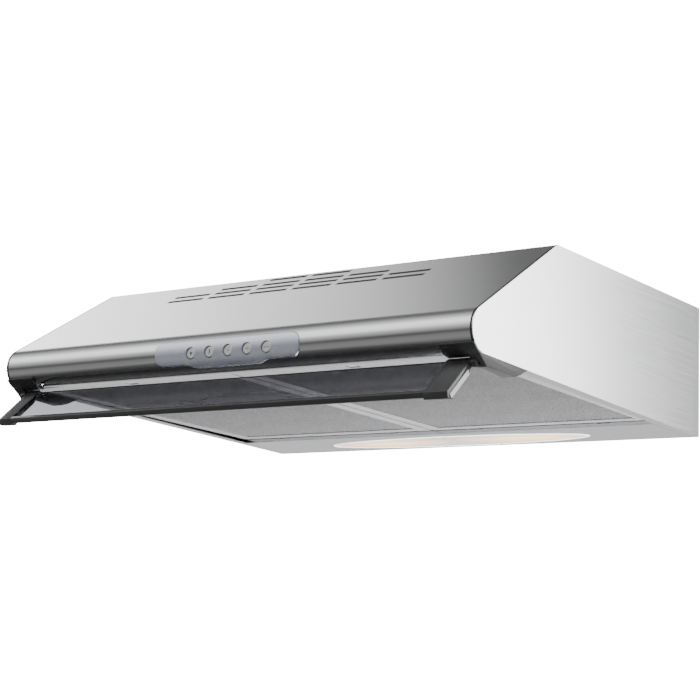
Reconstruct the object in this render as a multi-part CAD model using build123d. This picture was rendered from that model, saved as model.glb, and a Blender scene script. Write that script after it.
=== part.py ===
from build123d import *
import math
import os

# Under-cabinet range hood. Millimetres. +X is to the right of someone facing the hood, the front faces
# -Y, +Z is up. The origin is on the top face, in the middle of the four cabinet screw holes.

# ---- canopy ----
width = 600.0
body_height = 148.5
top_depth = 334.0
slope_angle = 32.4
slope_length = 166.7
nose_radius = 22.0
sheet = 1.0
side_sheet = 1.2
trim_width = 2.0
trim_depth = 4.0
lip_depth = 4.7
lip_return = 11.0
side_flange = 11.0
top_flange = 14.0
step = 0.3
rear_gap = 0.2

# ---- front vents ----
vent_pitch = 58.3
vent_length = 51.0
vent_height = 6.2
vent_rows = ((48.2, 6), (35.2, 6), (22.7, 4), (8.2, 2))

# ---- control fascia and buttons ----
fascia_x = 12.0
fascia_length = 184.0
fascia_sheet = 2.0
fascia_top = 10.0
fascia_bottom = -14.0
bulge_bottom = -17.6
bulge_half = 51.7
bulge_half_low = 41.2
fascia_corner = 6.0
button_names = ("button_light", "button_stop", "button_speed_1", "button_speed_2", "button_speed_3")
button_pitch = 24.2
button_drop = 3.2
button_radius = 5.6
button_gap = 0.5
button_recess = 1.2
button_travel = 2.5
stem_radius = 2.5
stem_clear = 0.08
switch_half = 66.0
switch_top = 8.0
switch_bottom = -9.5
switch_back = 24.0

# ---- lamp panel, lamps and lens ----
lamp_depth = 90.0
lamp_flange = 16.0
lens_half = 184.0
lens_short = 34.0
lens_y = -41.0
lens_gap = 0.6
lens_sheet = 2.5
lens_pin_y = -9.0
lens_pin_z = 0.4
lens_pin_radius = 0.8
lens_knuckle = 1.6
lens_lug_x = 40.0
lens_lug = 8.0
ear_width = 4.0
ear_front = -11.5
ear_top = 3.0
tray_height = 34.0
tray_half = 196.0
bulb_x = 90.0
bulb_radius = 12.5
bulb_length = 62.0
bulb_z = 18.0
holder_radius = 14.0

# ---- grease filters ----
filter_sheet = 9.0
filter_border = 15.0
filter_gap = 1.5
filter_side_gap = 0.8
filter_front_rise = 0.5
filter_rear_rise = 4.5
filter_wall = 0.8
mesh_sheet = 6.0
mesh_layer = 0.8
hook_width = 14.0
hook_length = 4.0
hook_sheet = 1.2
hook_x = (60.0, 225.0)
latch_width = 22.0
latch_length = 14.0
latch_sheet = 2.4
tongue_width = 14.0
tongue_length = 3.2
latch_floor = 3.2
latch_travel = 4.0
pull_width = 10.0
pull_depth = 3.5
pull_start = 3.0
latch_land = 5.0
slide_clear = 0.25

# ---- visor ----
visor_drop = 42.7
visor_length = 54.0
pivot_back = 3.1
pivot_down = 4.3
arm_clear = 14.0
arm_width_left = 17.0
arm_width_right = 26.0
arm_depth = 9.4
arm_lip = 6.6
arm_eye = 3.9
strip_front = 4.0
strip_sheet = 0.8
glass_sheet = 4.0
glass_behind = 1.6
glass_start = 2.0
glass_shoulder = 9.5
glass_inset = 15.0
edge_height = 5.5
edge_depth = 6.0
pin_radius = 2.0
pin_clear = 0.05
bracket_width = 12.5
bracket_skin = 2.2
skin_width = 38.0
boss_radius = 4.6
boss_width = 6.0
bracket_tail = 78.0
bracket_hang = 11.0

# ---- blower ----
outlet_y = 72.0
spigot_radius = 60.0
spigot_wall = 1.5
spigot_height = 35.0
spigot_neck = 0.2
spigot_clear = 1.0
collar_flange = 8.0
collar_sheet = 2.0
blower_y = -35.0
scroll_radius = 56.0
housing_half = 95.0
housing_wall = 2.0
housing_end = 138.0
housing_rear_height = 92.0
inlet_radius = 40.0
wheel_radius = 46.0
wheel_start = 35.0
wheel_length = 50.0
blade_count = 30
blade_depth = 8.0
blade_sheet = 1.2
shaft_radius = 4.0
shaft_clear = 0.05
motor_radius = 32.0
motor_half = 26.0
motor_wall = 2.0
bearing_radius = 9.0
bearing_width = 5.0
stator_half = 13.0
air_gap = 0.6
rotor_radius = 16.0
flap_sheet = 1.2
flap_pin_radius = 1.5
flap_gap = 1.0
flap_z = 4.0
knuckle_length = 12.0
knuckle_rim = 15.5
knuckle_wall = 1.2
flap_notch = 9.0

# ---- mounts and wiring ----
screw_x = 220.0
screw_y = 100.0
screw_hole = 2.75
wall_screw_x = 180.0
wall_screw_z = -38.0
wall_screw_hole = 3.0
gland_x = -200.0
gland_y = 120.0
gland_radius = 7.9
gland_bore = 4.5
gland_flange = 11.0
gland_flange_sheet = 3.0
gland_length = 12.0
gland_clear = 0.2
box_size = (70.0, 52.0, 30.0)
box_wall = 2.0
loom_radius = 3.0
fixing_radius = 2.0
fixing_head = 3.6
fixing_head_height = 2.2

# ---- places worked out from the sizes above ----
half_width = width / 2
panel_half = half_width - side_sheet
front_half = panel_half - trim_width
back_y = top_depth / 2
arm_outer = half_width - arm_clear
bracket_inner = half_width - bracket_width
bracket_block = half_width - skin_width
filter_side = panel_half - side_flange - filter_side_gap
filter_middle = (filter_gap + filter_side) / 2
slope = math.radians(slope_angle)
bend_y = -back_y - slope_length * math.cos(slope)
bend_z = -slope_length * math.sin(slope)
nose_y = bend_y + nose_radius * math.sin(slope)
nose_z = bend_z - nose_radius * math.cos(slope)
nose_far = math.hypot(back_y - nose_y, body_height + nose_z)
under_angle = math.atan2(body_height + nose_z, back_y - nose_y) - math.asin(nose_radius / nose_far)
under_length = math.sqrt(nose_far**2 - nose_radius**2)
under = Plane(
    origin=(0, back_y, -body_height),
    x_dir=(1, 0, 0),
    z_dir=(0, math.sin(under_angle), math.cos(under_angle)),
)
lip_end = -under_length + lip_depth
tray_rear = -sheet - rear_gap - tray_height * math.sin(under_angle)
filter_front = lip_end + 1.8
filter_rear = -lamp_depth - sheet - 1.0
filter_length = filter_rear - filter_front
filter_tilt = math.degrees(math.asin((filter_rear_rise - filter_front_rise) / filter_length))
filter_seat = under.location * Pos(0, filter_rear, filter_rear_rise) * Rot(filter_tilt, 0, 0)
button_z = nose_z - button_drop
button_xs = [fascia_x + 4.5 + button_pitch * (i - 2) for i in range(5)]
fascia_front = nose_radius + fascia_sheet
blower_z = -sheet - collar_sheet - scroll_radius

os.makedirs("parts", exist_ok=True)


# ---- helpers ----
def block(x0, x1, y0, y1, z0, z1):
    """A box between two opposite corners."""
    return Pos((x0 + x1) / 2, (y0 + y1) / 2, (z0 + z1) / 2) * Box(x1 - x0, y1 - y0, z1 - z0)


def rod(radius, x0, x1, y, z):
    """A round bar along X."""
    return Pos((x0 + x1) / 2, y, z) * Rot(0, 90, 0) * Cylinder(radius, abs(x1 - x0))


def pole(radius, x, y, z0, z1):
    """A round bar along Z."""
    return Pos(x, y, (z0 + z1) / 2) * Cylinder(radius, z1 - z0)


def bar(radius, x, y0, y1, z):
    """A round bar along Y."""
    return Pos(x, (y0 + y1) / 2, z) * Rot(90, 0, 0) * Cylinder(radius, y1 - y0)


def slab(outline, x0, x1):
    """A side-view face, drawn as (y, z), made solid from x0 to x1."""
    return extrude(Plane.YZ.offset(x0) * outline, amount=x1 - x0, dir=(1, 0, 0))


def polygon(*points):
    """A closed face through side-view points."""
    return make_face(Polyline(*points, close=True))


def mirrored(shape):
    """The left-hand copy of a right-hand piece."""
    return mirror(shape, about=Plane.YZ)


def nose_point(radius, degrees):
    """A side-view point round the nose: 0 is straight ahead, positive is up."""
    turn = math.radians(degrees)
    return (nose_y - radius * math.cos(turn), nose_z + radius * math.sin(turn))


def under_point(along, up):
    """A side-view point from the underside's own distances: along is negative towards the front."""
    return (
        back_y + along * math.cos(under_angle) + up * math.sin(under_angle),
        -body_height - along * math.sin(under_angle) + up * math.cos(under_angle),
    )


def nose_angles():
    """Where the nose leaves the slope and where it meets the underside, in degrees."""
    return (90 - slope_angle, -90 + math.degrees(under_angle))


def front_outline(inset):
    """Edges of the slope and nose, moved inwards, from the top bend to the underside."""
    high, low = nose_angles()
    radius = nose_radius - inset
    top = (-back_y + inset * math.tan((math.pi / 2 - slope) / 2), -inset)
    start = nose_point(radius, high)
    end = nose_point(radius, low)
    return top, start, nose_point(radius, (high + low) / 2), end


def canopy_face():
    """The whole side outline of the canopy."""
    top, start, middle, end = front_outline(0)
    straight = Polyline(end, (back_y, -body_height), (back_y, 0), top, start)
    return make_face(Wire([*straight.edges(), ThreePointArc(start, middle, end)]))


def save(name, shape):
    """Write one sub-part."""
    shape.label = name
    export_step(shape, f"parts/{name}.step")


# ---- canopy sheets ----
def make_front_panel():
    """Slope, rolled nose, bottom lip and its upturned return, folded from one sheet."""
    top, start, middle, end = front_outline(0)
    top_in, start_in, middle_in, end_in = front_outline(sheet)
    seam = -back_y + sheet
    outer = Polyline(
        end,
        under_point(lip_end, 0),
        under_point(lip_end, lip_return),
        under_point(lip_end - sheet, lip_return),
        under_point(lip_end - sheet, sheet),
        end_in,
    )
    inner = Polyline(
        start_in,
        (-back_y + step, -2 * sheet),
        (-back_y + top_flange, -2 * sheet),
        (-back_y + top_flange, -sheet),
        (seam, -sheet),
        (seam, 0),
        top,
        start,
    )
    edges = [
        *outer.edges(),
        ThreePointArc(end_in, middle_in, start_in),
        *inner.edges(),
        ThreePointArc(start, middle, end),
    ]
    panel = slab(make_face(Wire(edges)), -front_half, front_half)
    for down, count in vent_rows:
        for i in range(count):
            x = (i - (count - 1) / 2) * vent_pitch
            seat = Location((x, -back_y - down * math.cos(slope), -down * math.sin(slope)), (slope_angle, 0, 0))
            panel -= seat * Box(vent_length, vent_height, 6 * sheet)
    for x in button_xs:
        panel -= bar(button_radius + button_gap, x, nose_y - 2 * nose_radius, nose_y - nose_radius / 2, button_z)
    for side in (-1, 1):
        middle_x = side * filter_middle
        slot = block(
            middle_x - tongue_width / 2 - sheet,
            middle_x + tongue_width / 2 + sheet,
            lip_end - 2 * sheet,
            lip_end + sheet,
            filter_front_rise + latch_floor - 0.7,
            filter_front_rise + latch_floor + latch_sheet + 2.4,
        )
        panel -= under.location * slot
    return panel


def make_top_panel():
    panel = block(-panel_half, panel_half, -back_y + sheet, back_y - sheet, -sheet, 0)
    panel -= pole(spigot_radius + spigot_clear, 0, outlet_y, -2 * sheet, sheet)
    panel -= pole(gland_radius + gland_clear, gland_x, gland_y, -2 * sheet, sheet)
    for x in (-screw_x, screw_x):
        for y in (-screw_y, screw_y):
            panel -= pole(screw_hole, x, y, -2 * sheet, sheet)
    return panel


def make_back_panel():
    panel = block(-panel_half, panel_half, back_y - sheet, back_y, -body_height, 0)
    for x in (-wall_screw_x, wall_screw_x):
        panel -= bar(wall_screw_hole, x, back_y - 2 * sheet, back_y + sheet, wall_screw_z)
    return panel


def make_side_panel():
    """Right-hand side: the full outline with a bottom flange turned in."""
    panel = slab(canopy_face(), panel_half, half_width)
    flange = block(panel_half - side_flange, panel_half + step, lip_end + step, -sheet - rear_gap, 0, sheet)
    return panel + under.location * flange


def make_edge_trim():
    """Right-hand black gasket between the front panel and the side panel."""
    top, start, middle, end = front_outline(0)
    top_in, start_in, middle_in, end_in = front_outline(trim_depth)
    slope_in = Polyline(start_in, top_in, top, start)
    foot = Line(end, end_in)
    edges = [
        foot,
        ThreePointArc(end_in, middle_in, start_in),
        *slope_in.edges(),
        ThreePointArc(start, middle, end),
    ]
    return slab(make_face(Wire(edges)), front_half, panel_half)


# ---- control fascia, buttons and switches ----
def make_fascia():
    """Curved plate that lies on the nose, with a lower bulge under the buttons."""
    ring = rod(fascia_front, -half_width, half_width, nose_y, nose_z)
    ring -= rod(nose_radius, -half_width, half_width, nose_y, nose_z)
    half = fascia_length / 2
    strip = Pos(0, (fascia_top + fascia_bottom) / 2) * RectangleRounded(
        2 * half, fascia_top - fascia_bottom, fascia_corner
    )
    bulge = make_face(
        Polyline(
            (-bulge_half, fascia_bottom + 1),
            (-bulge_half, fascia_bottom),
            (-bulge_half_low, bulge_bottom),
            (bulge_half_low, bulge_bottom),
            (bulge_half, fascia_bottom),
            (bulge_half, fascia_bottom + 1),
            close=True,
        )
    )
    view = Plane(origin=(fascia_x, nose_y, nose_z), x_dir=(1, 0, 0), z_dir=(0, -1, 0))
    cutter = extrude(view * (strip + bulge), amount=2 * nose_radius, dir=(0, -1, 0))
    plate = ring & cutter
    for x in button_xs:
        plate -= bar(button_radius + button_gap, x, nose_y - 2 * nose_radius, nose_y, button_z)
    return plate


def make_button(x):
    """Round cap with a retaining flange behind the sheet and a stem into the switch block."""
    front = nose_y - fascia_front + button_recess
    flange = nose_y - nose_radius + 4.2
    cap = bar(button_radius, x, front, flange + 1.5, button_z)
    cap = fillet(cap.edges().group_by(Axis.Y)[0], 0.8)
    cap += bar(button_radius + 1.2, x, flange, flange + 1.5, button_z)
    return cap + bar(stem_radius, x, flange + 1.5, nose_y - 4, button_z)


def make_switch_block():
    """Switch housing that seats in the hollow of the nose."""
    inside = nose_radius - sheet
    body = block(
        fascia_x - switch_half,
        fascia_x + switch_half,
        nose_y - nose_radius,
        nose_y + switch_back,
        nose_z + switch_bottom,
        nose_z + switch_top,
    )
    hollow = rod(inside, -half_width, half_width, nose_y, nose_z)
    behind = block(-half_width, half_width, nose_y, nose_y + 2 * switch_back, nose_z - inside, nose_z + inside)
    body = body & (hollow + behind)
    pocket_end = nose_y - nose_radius + 5.7 + button_travel + step
    for x in button_xs:
        body -= bar(button_radius + 1.8, x, nose_y - 2 * nose_radius, pocket_end, button_z)
        body -= bar(stem_radius + stem_clear, x, pocket_end - 1, nose_y + 2, button_z)
    return body


# ---- lamp panel, lens and lamps ----
def lens_outline(grow):
    return Pos(0, lens_y) * Ellipse(lens_half + grow, lens_short + grow)


def lens_ears(side):
    """Where the two ears stand beside a lens lug."""
    middle = side * lens_lug_x
    near = lens_lug / 2 + step
    far = near + ear_width
    return [(middle - far, middle - near), (middle + near, middle + far)]


def make_lamp_panel():
    """Rear panel with the oval lamp opening, a front upstand and the lens ears."""
    half = panel_half - side_flange - step
    plate = block(-half, half, -lamp_depth, -sheet - rear_gap, 0, sheet)
    plate += block(-half, half, -lamp_depth, -lamp_depth + sheet, 0, lamp_flange)
    plate -= extrude(Pos(0, 0, -sheet) * lens_outline(lens_gap), amount=3 * sheet)
    for side in (-1, 1):
        for x in hook_x:
            low = side * x - hook_width / 2 - 1
            plate -= block(low, low + hook_width + 2, -lamp_depth - 1, -lamp_depth + 2, 3.6, lamp_flange + 1)
        for x0, x1 in lens_ears(side):
            rear = tray_rear - sheet
            plate += block(x0, x1, lens_pin_y, rear, 0, ear_top)
            plate += rod(lens_knuckle, x0, x1, lens_pin_y, lens_pin_z)
        reach = lens_lug / 2 + step + ear_width
        plate -= rod(lens_pin_radius, side * lens_lug_x - reach, side * lens_lug_x + reach, lens_pin_y, lens_pin_z)
    return under.location * plate


def make_lens_pins():
    reach = lens_lug / 2 + step + ear_width
    middles = (-lens_lug_x, lens_lug_x)
    pins = [rod(lens_pin_radius, x - reach, x + reach, lens_pin_y, lens_pin_z) for x in middles]
    return under.location * Compound(children=pins)


def make_lens():
    """Long oval diffuser with two hinge lugs at its rear edge."""
    plate = extrude(lens_outline(0), amount=lens_sheet)
    plate = chamfer(plate.edges().group_by(Axis.Z)[0], 0.8)
    front = lens_pin_y - lens_knuckle - lens_gap
    for side in (-1, 1):
        for x0, x1 in lens_ears(side):
            plate -= block(x0 - lens_gap, x1 + lens_gap, front, 0, -lens_knuckle, 2 * lens_sheet)
        middle = side * lens_lug_x
        half = lens_lug / 2
        plate -= block(middle - half - lens_gap, middle + half + lens_gap, front, 0, -lens_knuckle, 2 * lens_sheet)
        plate += rod(lens_knuckle, middle - half, middle + half, lens_pin_y, lens_pin_z)
        plate += block(middle - half, middle + half, front - step, lens_pin_y, lens_pin_z, lens_pin_z + lens_knuckle)
        plate -= rod(lens_pin_radius + pin_clear, middle - lens_lug, middle + lens_lug, lens_pin_y, lens_pin_z)
    return under.location * plate


def make_lamp_tray():
    """Reflector box over the lens."""
    rear = tray_rear
    front = -lamp_depth + 8
    tray = block(-tray_half, tray_half, front, rear, sheet, tray_height)
    tray -= block(-tray_half + sheet, tray_half - sheet, front + sheet, rear - sheet, 0, tray_height - sheet)
    for side in (-1, 1):
        outer = side * (tray_half - sheet / 2)
        tray -= rod(holder_radius - 3, outer - 2, outer + 2, lens_y, bulb_z)
    return under.location * tray


def make_lamp_holder():
    """Right-hand screw socket, fixed to the tray's end wall."""
    outer = tray_half - sheet
    socket = rod(holder_radius, outer - 3, outer, lens_y, bulb_z)
    socket += rod(holder_radius - 2.5, bulb_x + bulb_length / 2 - 4, outer - 3, lens_y, bulb_z)
    socket -= rod(7.2, bulb_x + bulb_length / 2 - 5, bulb_x + bulb_length / 2 + 22, lens_y, bulb_z)
    return under.location * socket


def make_lamp_bulb():
    """Right-hand tubular lamp with its screw cap in the socket."""
    end = bulb_x + bulb_length / 2 - 4
    glass = rod(bulb_radius, bulb_x - bulb_length / 2, end - 6, lens_y, bulb_z)
    glass = fillet(glass.edges(), bulb_radius * 0.6)
    cap = rod(7.0, end - 10, end + 18, lens_y, bulb_z)
    return under.location * (glass + cap)


# ---- grease filters, made on the right ----
def make_filter_frame():
    """Folded channel round the filter, with two hooks at the rear."""
    frame = block(filter_gap, filter_side, -filter_length, 0, 0, filter_sheet)
    inner = filter_border
    frame -= block(
        filter_gap + inner, filter_side - inner, -filter_length + inner, -inner, -1, filter_sheet + 1
    )
    low = (filter_sheet - mesh_sheet) / 2
    frame -= block(
        filter_gap + filter_wall,
        filter_side - filter_wall,
        -filter_length + filter_wall + latch_length + latch_land,
        -filter_wall,
        low,
        low + mesh_sheet,
    )
    middle = filter_middle
    pocket = latch_width / 2 + slide_clear
    mouth = tongue_width / 2 + slide_clear
    window = pull_width / 2 + 2
    top = latch_floor + latch_sheet + 2 * slide_clear
    start = -filter_length + filter_wall
    finger = start + pull_start
    frame -= block(middle - pocket, middle + pocket, start, start + latch_length + latch_travel, latch_floor, top)
    frame -= block(middle - mouth, middle + mouth, -filter_length - 1, start + 1, latch_floor, top)
    frame -= block(middle - window, middle + window, finger - 1, finger + pull_depth + latch_travel + 1, -1, latch_floor + 0.1)
    for x in hook_x:
        frame += block(x - hook_width / 2, x + hook_width / 2, -filter_wall, hook_length, 0, hook_sheet)
    return filter_seat * frame


def make_filter_mesh():
    """Lower and upper layers of expanded metal held in the channel."""
    low = (filter_sheet - mesh_sheet) / 2
    start = -filter_length + filter_wall + latch_length + latch_land
    layers = []
    for z in (low, low + mesh_sheet - mesh_layer):
        layer = block(filter_gap + filter_wall, filter_side - filter_wall, start, -filter_wall, z, z + mesh_layer)
        layers.append(filter_seat * layer)
    return Compound(children=layers)


def make_filter_latch():
    """Sliding catch whose tongue sits in the front lip's slot."""
    middle = filter_middle
    start = -filter_length + filter_wall + slide_clear
    low = latch_floor + slide_clear
    high = low + latch_sheet
    half = latch_width / 2
    latch = block(middle - half, middle + half, start, start + latch_length, low, high)
    half = tongue_width / 2
    latch += block(middle - half, middle + half, -filter_length - tongue_length, start, low, high)
    half = pull_width / 2
    latch += block(middle - half, middle + half, start + pull_start, start + pull_start + pull_depth, slide_clear, low)
    return filter_seat * latch


# ---- visor, made on the right ----
def visor_point(along, behind):
    """A side-view point on the visor: along runs down its face from the top edge, behind is under it."""
    drop = math.radians(visor_drop)
    top_y, top_z = under_point(-under_length + 2, -1.9)
    return (
        top_y - along * math.cos(drop) + behind * math.sin(drop),
        top_z - along * math.sin(drop) - behind * math.cos(drop),
    )


pivot = visor_point(pivot_down, pivot_back)


def make_visor_arm(arm_width):
    """Arm with a hinge eye at the top and a turned-down lip that holds the front edge."""
    foot_y, foot_z = visor_point(visor_length, 0)
    body = polygon(
        visor_point(0, 0),
        (foot_y, foot_z),
        (foot_y + 1.6, foot_z - arm_lip),
        (foot_y + arm_depth + 1.0, foot_z - arm_lip + 0.6),
        visor_point(visor_length - 6, arm_depth),
        visor_point(16, arm_depth),
        visor_point(9, pivot_back + arm_eye),
        visor_point(pivot_down, pivot_back + arm_eye),
    )
    inner = arm_outer - arm_width
    arm = slab(body, inner, arm_outer)
    arm = fillet(arm.edges().filter_by(Axis.X).sort_by(Axis.Z)[:3], 1.2)
    arm += rod(arm_eye, inner, arm_outer, *pivot)
    arm -= glass_sheet_from(glass_shoulder, inner - 1, arm_outer - glass_inset)
    return arm - rod(pin_radius + pin_clear, arm_outer - 15, arm_outer + 1, *pivot)


def glass_sheet_from(start, x0, x1):
    """A stretch of the glass plate, from a distance down the visor to its front edge."""
    low = glass_behind
    high = low + glass_sheet
    end = visor_length - 1
    outline = polygon(visor_point(start, low), visor_point(end, low), visor_point(end, high), visor_point(start, high))
    return slab(outline, x0, x1)


def make_glass():
    """Tinted glass between the arms, with shoulders let into a slot in each."""
    reach = arm_outer - glass_inset
    glass = glass_sheet_from(glass_shoulder, -reach, reach)
    left = -arm_outer + arm_width_left + step
    right = arm_outer - arm_width_right - step
    return glass + glass_sheet_from(glass_start, left, right)


def make_visor_edge():
    """Black profile along the front edge of the glass."""
    y, z = visor_point(visor_length - 1, 0)
    x0 = -arm_outer + arm_width_left
    x1 = arm_outer - arm_width_right
    strip = polygon(
        visor_point(visor_length - 4, 0),
        visor_point(visor_length, 0),
        (y + 0.6, z - edge_height),
        (y + edge_depth, z - edge_height + 0.4),
        visor_point(visor_length - 4, 8),
    )
    return slab(strip, x0, x1) - glass_sheet_from(glass_start, x0 - 1, x1 + 1)


def make_side_strip():
    """Satin cover let into the outer face of an arm."""
    outline = polygon(
        visor_point(14, strip_front),
        visor_point(visor_length - 1, strip_front),
        visor_point(visor_length - 1, arm_depth - 0.6),
        visor_point(15, arm_depth - 0.6),
    )
    return slab(outline, arm_outer, arm_outer + strip_sheet)


def make_visor_bracket():
    """Side plate with a tail, a skin wrapped under the nose, and the hinge boss."""
    high = -36
    low = nose_angles()[1]
    outer = nose_radius + bracket_skin
    middle = (high + low) / 2
    skin = make_face(
        Wire(
            [
                ThreePointArc(nose_point(nose_radius, high), nose_point(nose_radius, middle), nose_point(nose_radius, low)),
                Line(nose_point(nose_radius, low), nose_point(outer, low)),
                ThreePointArc(nose_point(outer, low), nose_point(outer, middle), nose_point(outer, high)),
                Line(nose_point(outer, high), nose_point(nose_radius, high)),
            ]
        )
    )
    start = -under_length
    tail = polygon(
        under_point(start, 0),
        under_point(start + bracket_tail, 0),
        under_point(start + bracket_tail - 14, -7.5),
        under_point(start + bracket_tail - 24, -bracket_hang),
        under_point(start + 24, -9.8),
        under_point(start + 5, -11.0),
        nose_point(outer, high),
        nose_point(nose_radius, high),
        nose_point(nose_radius, middle),
    )
    bracket = slab(skin, bracket_block, half_width)
    bracket += slab(tail, bracket_inner, half_width) - rod(nose_radius, bracket_block, half_width, nose_y, nose_z)
    bracket += rod(boss_radius, bracket_inner - 0.6, bracket_inner + boss_width, *pivot)
    bracket -= block(bracket_block - 1, half_width + 1, nose_y, nose_y + 30, nose_z - nose_radius + 0.01, nose_z)
    return bracket - rod(pin_radius, bracket_inner - 2, bracket_inner + boss_width + 2, *pivot)


def make_visor_pin():
    return rod(pin_radius, arm_outer - 14, bracket_inner + boss_width + 1.5, *pivot)


# ---- blower ----
def housing_outline(inset):
    """Side view of the blower: a round scroll at the front that opens into a box under the outlet."""
    radius = scroll_radius - inset
    top = blower_z + radius
    bottom = blower_z - radius
    rear = housing_end - inset
    rear_bottom = blower_z + scroll_radius - housing_rear_height + inset
    ramp = blower_y + scroll_radius * 0.6
    straight = Polyline((blower_y, bottom), (ramp, bottom), (ramp + 34, rear_bottom), (rear, rear_bottom), (rear, top), (blower_y, top))
    arc = ThreePointArc((blower_y, top), (blower_y - radius, blower_z), (blower_y, bottom))
    return make_face(Wire([*straight.edges(), arc]))


def make_housing():
    """Both halves of the housing, split level with the shaft."""
    shell = slab(housing_outline(0), -housing_half, housing_half)
    inner = housing_half - housing_wall
    shell -= slab(housing_outline(housing_wall), -inner, inner)
    shell -= rod(inlet_radius, -housing_half - 1, housing_half + 1, blower_y, blower_z)
    shell -= pole(spigot_radius + step, 0, outlet_y, blower_z, 0)
    far = 2 * width
    upper = shell & block(-far, far, -far, far, blower_z, far)
    lower = shell & block(-far, far, -far, far, -far, blower_z)
    return upper, lower


def make_impeller():
    """Right-hand wheel: hub and back disc, a ring of blades and an end ring."""
    end = wheel_start + wheel_length
    wheel = rod(wheel_radius, wheel_start, wheel_start + 2, blower_y, blower_z)
    wheel += rod(9, wheel_start, wheel_start + 14, blower_y, blower_z)
    ring = rod(wheel_radius, end - 2, end, blower_y, blower_z)
    ring -= rod(wheel_radius - blade_depth, end - 3, end + 1, blower_y, blower_z)
    wheel += ring
    blade = Pos(wheel_radius - blade_depth / 2 - 0.3, 0) * Rot(0, 0, 25) * Rectangle(blade_depth, blade_sheet)
    cage = [Rot(0, 0, i * 360 / blade_count) * blade for i in range(blade_count)]
    seat = Plane(origin=(wheel_start + 1, blower_y, blower_z), x_dir=(0, 1, 0), z_dir=(1, 0, 0))
    blades = [extrude(seat * b, amount=wheel_length - 2, dir=(1, 0, 0)) for b in cage]
    wheel += blades
    return wheel - rod(shaft_radius, wheel_start - 1, end + 1, blower_y, blower_z)


def make_motor_case():
    case = rod(motor_radius, -motor_half, motor_half, blower_y, blower_z)
    inner = motor_half - motor_wall
    case -= rod(motor_radius - motor_wall, -inner, inner, blower_y, blower_z)
    for side in (-1, 1):
        seat = rod(bearing_radius + 2, side * (inner - bearing_width), side * inner, blower_y, blower_z)
        case += seat
        case -= rod(bearing_radius, side * (inner - bearing_width - 1), side * inner, blower_y, blower_z)
    return case - rod(shaft_radius + 1, -motor_half - 1, motor_half + 1, blower_y, blower_z)


def make_bearings():
    rings = []
    inner = motor_half - motor_wall
    for side in (-1, 1):
        ring = rod(bearing_radius, side * (inner - bearing_width), side * inner, blower_y, blower_z)
        rings.append(ring - rod(shaft_radius + shaft_clear, -motor_half, motor_half, blower_y, blower_z))
    return Compound(children=rings)


def make_stator():
    stack = rod(motor_radius - motor_wall, -stator_half, stator_half, blower_y, blower_z)
    return stack - rod(rotor_radius + air_gap, -stator_half - 1, stator_half + 1, blower_y, blower_z)


def make_rotor():
    """Shaft through both wheels, with the rotor core pressed on its middle."""
    end = wheel_start + wheel_length
    return rod(shaft_radius, -end + 30, end - 30, blower_y, blower_z) + rod(
        rotor_radius, -stator_half, stator_half, blower_y, blower_z
    )


def make_motor_cradle():
    """Saddle that carries the motor on the housing floor."""
    floor = blower_z - scroll_radius + housing_wall + 4
    saddle = block(-motor_half + 4, motor_half - 4, blower_y - 20, blower_y + 20, floor, blower_z - 12)
    return saddle - rod(motor_radius, -motor_half - 1, motor_half + 1, blower_y, blower_z)


def make_motor_bushes():
    floor = blower_z - scroll_radius + housing_wall
    half = motor_half - 6
    pads = [pole(5, x, blower_y + 6, floor, floor + 4) for x in (-half + 4, half - 4)]
    return Compound(children=pads)


def make_collar():
    """Round outlet spigot with a flange clamped under the top panel, and a pin seat across it."""
    low = -sheet - collar_sheet
    inner = spigot_radius - spigot_wall
    collar = pole(spigot_radius, 0, outlet_y, 0, spigot_height)
    collar += pole(spigot_radius - spigot_neck, 0, outlet_y, low, 0)
    collar += pole(spigot_radius + collar_flange, 0, outlet_y, low, -sheet)
    collar -= pole(inner, 0, outlet_y, low - 1, spigot_height + 1)
    for side in (-1, 1):
        y0 = outlet_y + side * inner
        y1 = outlet_y + side * (inner - 3)
        lug = block(-3, 3, min(y0, y1) - 0.5, max(y0, y1) + 0.5, flap_z - 4, flap_z + 4)
        collar += lug & pole(spigot_radius - 0.3, 0, outlet_y, -5, 20)
    reach = inner + 0.5
    return collar - bar(flap_pin_radius, 0, outlet_y - reach, outlet_y + reach, flap_z)


def make_flap_pin():
    reach = spigot_radius - spigot_wall
    return bar(flap_pin_radius, 0, outlet_y - reach, outlet_y + reach, flap_z)


def make_flap(side):
    """Half-disc damper with three knuckles on the shared pin."""
    radius = spigot_radius - spigot_wall - flap_gap
    disc = pole(radius, 0, outlet_y, flap_z - flap_sheet / 2, flap_z + flap_sheet / 2)
    room = flap_pin_radius + 1.7
    near, far = sorted((side * room, side * 2 * radius))
    disc = disc & block(near, far, outlet_y - radius, outlet_y + radius, -10, 20)
    for end in (-radius, radius):
        y = outlet_y + end
        disc -= block(-flap_notch, flap_notch, y - flap_notch, y + flap_notch, -10, 20)
    pitch = (2 * radius - knuckle_rim - knuckle_length) / 3 - step
    first = -radius + knuckle_rim
    if side > 0:
        first += pitch / 2
    for i in range(3):
        y0 = outlet_y + first + pitch * i
        y1 = y0 + knuckle_length
        near, far = sorted((0, side * (room + 1)))
        leaf = block(near, far, y0, y1, flap_z - flap_sheet / 2, flap_z + flap_sheet / 2)
        disc += bar(flap_pin_radius + knuckle_wall, 0, y0, y1, flap_z) + leaf
    return disc - bar(flap_pin_radius + pin_clear, 0, outlet_y - spigot_radius, outlet_y + spigot_radius, flap_z)


# ---- wiring ----
def box_corner():
    """Low x and low y corner of the terminal box, with the gland in its middle."""
    return gland_x - box_size[0] / 2, gland_y - box_size[1] / 2


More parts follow.
